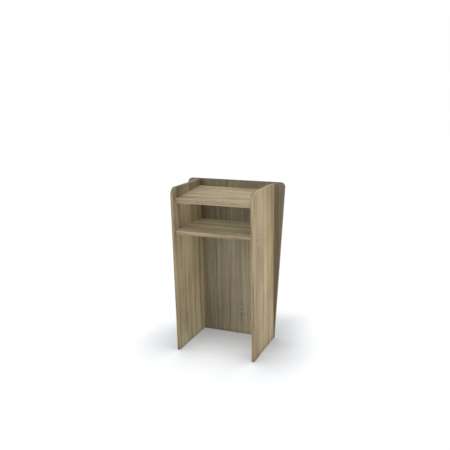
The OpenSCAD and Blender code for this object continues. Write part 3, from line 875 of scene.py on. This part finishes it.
class LECTERN_OT_cam_fittings(bpy.types.Operator):
    """Dress the cam housings in cast zinc and their bolts in plated steel"""

    bl_idname = "lectern.cam_fittings"
    bl_label = "Cam fittings"

    def execute(self, context):
        looks = context.scene.lectern_fittings
        zinc = metal_material("Cast zinc", looks.zinc, scale=1400.0, smoothest=0.38, roughest=0.52,
                              dent=0.00004)
        steel = metal_material("Plated steel", looks.steel, scale=2200.0, smoothest=0.22, roughest=0.34,
                               dent=0.00002)
        dress([name + "_cams" for name in CAM_PLACES], zinc)
        dress([name + "_cam_bolts" for name in CAM_PLACES], steel)
        return {"FINISHED"}


class LECTERN_OT_cam_caps(bpy.types.Operator):
    """Dress the cover caps in moulded plastic of the board's colour"""

    bl_idname = "lectern.cam_caps"
    bl_label = "Cover caps"

    def execute(self, context):
        looks = context.scene.lectern_fittings
        worn = context.scene.lectern_board.light_tone
        dress([name + "_cam_caps" for name in CAM_PLACES],
              moulded_material("Cover caps", looks.cap, worn, roughness=0.5))
        return {"FINISHED"}


class LECTERN_OT_dowels(bpy.types.Operator):
    """Dress the dowels in bare beech"""

    bl_idname = "lectern.dowels"
    bl_label = "Dowels"

    def execute(self, context):
        dress([name + "_dowels" for name in (*CAM_PLACES, "paper_stop")],
              beech_material(context.scene.lectern_fittings))
        return {"FINISHED"}


class LECTERN_OT_glides(bpy.types.Operator):
    """Dress the glides in black moulded plastic, scuffed where they meet the floor"""

    bl_idname = "lectern.glides"
    bl_label = "Glides"

    def execute(self, context):
        looks = context.scene.lectern_fittings
        dress(["left_side_glides", "right_side_glides", "front_panel_glides"],
              moulded_material("Glides", looks.glide, looks.glide_worn, roughness=0.45, floor_wear=True))
        return {"FINISHED"}


class LECTERN_OT_stage(bpy.types.Operator):
    """Lay the floor, light the lectern and set the camera"""

    bl_idname = "lectern.stage"
    bl_label = "Stage"

    def execute(self, context):
        stage = context.scene.lectern_stage
        context.scene.view_settings.view_transform = "Standard"
        floor = self.lay_floor(context.scene, stage)
        self.light(context.scene, stage, floor)
        self.set_camera(context.scene, stage)
        return {"FINISHED"}

    def lay_floor(self, scene, stage):
        """A plain pale floor that keeps the lectern's shadow."""
        bm = bmesh.new()
        bmesh.ops.create_grid(bm, x_segments=1, y_segments=1, size=stage.floor_size / 2)
        mesh = bpy.data.meshes.new("floor")
        bm.to_mesh(mesh)
        bm.free()
        mesh.materials.append(self.floor_material(stage))
        floor = bpy.data.objects.new("floor", mesh)
        scene.collection.objects.link(floor)
        return floor

    def floor_material(self, stage):
        """White with a soft shade round the lectern and a painted shadow behind the front panel, for the
        camera and in reflections. To all other rays it is a plain grey that gives some light of its own,
        less of it near the foot."""
        cool_shade, cool_white = (0.95, 1.0, 1.12), (0.985, 0.992, 1.0)
        half_cover = 0.5
        material = bpy.data.materials.new("Pale floor")
        graph = empty_graph(material)
        plain = graph.add("ShaderNodeBsdfDiffuse", {"Color": rgba((stage.floor_tone,) * 3)})
        away = self.away_from(graph, 0.0, CAD_BOX[1][0], CAD_BOX[1][1])
        bounce = graph.spread(away, 0.0, stage.contact, stage.near_bounce * stage.floor_bounce,
                              stage.floor_bounce)
        bounce = graph.add("ShaderNodeEmission", {"Color": (1.0, 1.0, 1.0, 1.0), "Strength": bounce})
        plain = graph.add("ShaderNodeAddShader", {0: plain.outputs[0], 1: bounce.outputs[0]})
        pale = graph.add("ShaderNodeBsdfDiffuse", {"Color": rgba(cool_shade, (stage.floor_shade,) * 3)})
        open_sky = graph.add("ShaderNodeAmbientOcclusion", {"Distance": stage.contact}, samples=32)
        covered = graph.minus(1.0, open_sky.outputs["AO"])
        kept = graph.minus(1.0, graph.math("DIVIDE", covered, graph.math("ADD", covered, half_cover)))
        # Painted shadow on the floor behind the front panel
        behind = self.away_from(graph, stage.behind_middle, stage.behind_reach, stage.behind_depth)
        behind = graph.spread(behind, 0.0, stage.behind_fade, 1.0 - stage.behind_painted_shadow, 1.0)
        kept = graph.times(kept, behind)
        glow = graph.add("ShaderNodeEmission", {
            "Color": rgba(cool_white), "Strength": graph.times(kept, stage.floor_white)})
        pale = graph.add("ShaderNodeAddShader", {0: pale.outputs[0], 1: glow.outputs[0]})
        seen = seen_by(graph, "Is Camera Ray", "Is Glossy Ray")
        pick = graph.add("ShaderNodeMixShader", {0: seen, 1: plain.outputs[0], 2: pale.outputs[0]})
        graph.add("ShaderNodeOutputMaterial", {"Surface": pick.outputs[0]})
        return material

    def away_from(self, graph, middle, half_width, half_depth):
        """Distance over the floor from a rectangle whose middle lies that far behind the origin."""
        side, back, _ = graph.split(place(graph))
        past = [graph.math("MAXIMUM", graph.minus(graph.math("ABSOLUTE", part), half), 0.0)
                for part, half in ((side, half_width), (graph.minus(back, middle), half_depth))]
        return graph.length(*past)

    def light(self, scene, stage, floor):
        """Even light from all round, three soft lamps, and a fill that leaves the floor its shadow."""
        world = bpy.data.worlds.new("Soft studio")
        graph = empty_graph(world)
        seen = seen_by(graph, "Is Camera Ray", "Is Glossy Ray", "Is Transmission Ray")
        sky = graph.add("ShaderNodeBackground", {
            "Color": (1.0, 1.0, 1.0, 1.0), "Strength": graph.spread(seen, 0.0, 1.0, stage.sky, 1.0)})
        graph.add("ShaderNodeOutputWorld", {"Surface": sky.outputs[0]})
        scene.world = world
        unfilled = bpy.data.collections.new("Not filled")
        unfilled.objects.link(floor)
        unfilled.collection_objects[0].light_linking.link_state = "EXCLUDE"

        # Each lamp's strength and direction, and whether it casts shadows and shows in reflections
        stand_off = 5.0
        lamps = (
            ("Top light", stage.top_light, stage.top_from, True, True),
            ("Face light", stage.face_light, stage.face_from, True, True),
            ("Back light", stage.back_light, stage.back_from, True, False),
            ("Fill", stage.fill, stage.fill_from, False, False))
        for name, strength, direction, shadow, glint in lamps:
            lamp = bpy.data.lights.new(name, "SUN")
            lamp.energy = strength
            lamp.angle = stage.softness
            lamp.use_shadow = shadow
            holder = bpy.data.objects.new(name, lamp)
            scene.collection.objects.link(holder)
            holder.visible_glossy = glint
            if not shadow:
                holder.light_linking.receiver_collection = unfilled
            holder.location = Vector(direction).normalized() * stand_off
            holder.rotation_mode = "QUATERNION"
            holder.rotation_quaternion = Vector(direction).to_track_quat("Z", "Y")

    def set_camera(self, scene, stage):
        """The camera at the photograph's viewing angle."""
        data = bpy.data.cameras.new("Camera")
        data.sensor_width = 36.0
        data.lens = stage.lens
        data.shift_x, data.shift_y = stage.shift
        camera = bpy.data.objects.new("Camera", data)
        scene.collection.objects.link(camera)
        camera.location = stage.camera_place
        camera.rotation_euler = (pi / 2 - stage.camera_pitch, 0.0, stage.camera_turn)
        scene.camera = camera


class LECTERN_PT_looks(bpy.types.Panel):
    """Lists the operators that dress the lectern."""

    bl_label = "Lectern"
    bl_idname = "LECTERN_PT_looks"
    bl_space_type = "VIEW_3D"
    bl_region_type = "UI"
    bl_category = "Lectern"

    def draw(self, context):
        for operator in OPERATORS:
            self.layout.operator(operator.bl_idname)


PROPERTIES = {
    "lectern_board": BoardLooks,
    "lectern_panel_band": PanelBandSize,
    "lectern_fittings": FittingLooks,
    "lectern_stage": StageSettings,
}
OPERATORS = (
    LECTERN_OT_boards,
    LECTERN_OT_edge_bands,
    LECTERN_OT_panel_band,
    LECTERN_OT_cam_fittings,
    LECTERN_OT_cam_caps,
    LECTERN_OT_dowels,
    LECTERN_OT_glides,
    LECTERN_OT_stage,
)


def register():
    for name, kind in PROPERTIES.items():
        bpy.utils.register_class(kind)
        setattr(bpy.types.Scene, name, PointerProperty(type=kind))
    for kind in (*OPERATORS, LECTERN_PT_looks):
        bpy.utils.register_class(kind)


def unregister():
    for kind in reversed((*OPERATORS, LECTERN_PT_looks)):
        bpy.utils.unregister_class(kind)
    for name, kind in reversed(PROPERTIES.items()):
        delattr(bpy.types.Scene, name)
        bpy.utils.unregister_class(kind)


def main():
    """Dresses the lectern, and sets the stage."""
    register()
    bpy.ops.lectern.boards()
    bpy.ops.lectern.edge_bands()
    bpy.ops.lectern.panel_band()
    bpy.ops.lectern.cam_fittings()
    bpy.ops.lectern.cam_caps()
    bpy.ops.lectern.dowels()
    bpy.ops.lectern.glides()
    bpy.ops.lectern.stage()


if __name__ == "__main__":
    main()
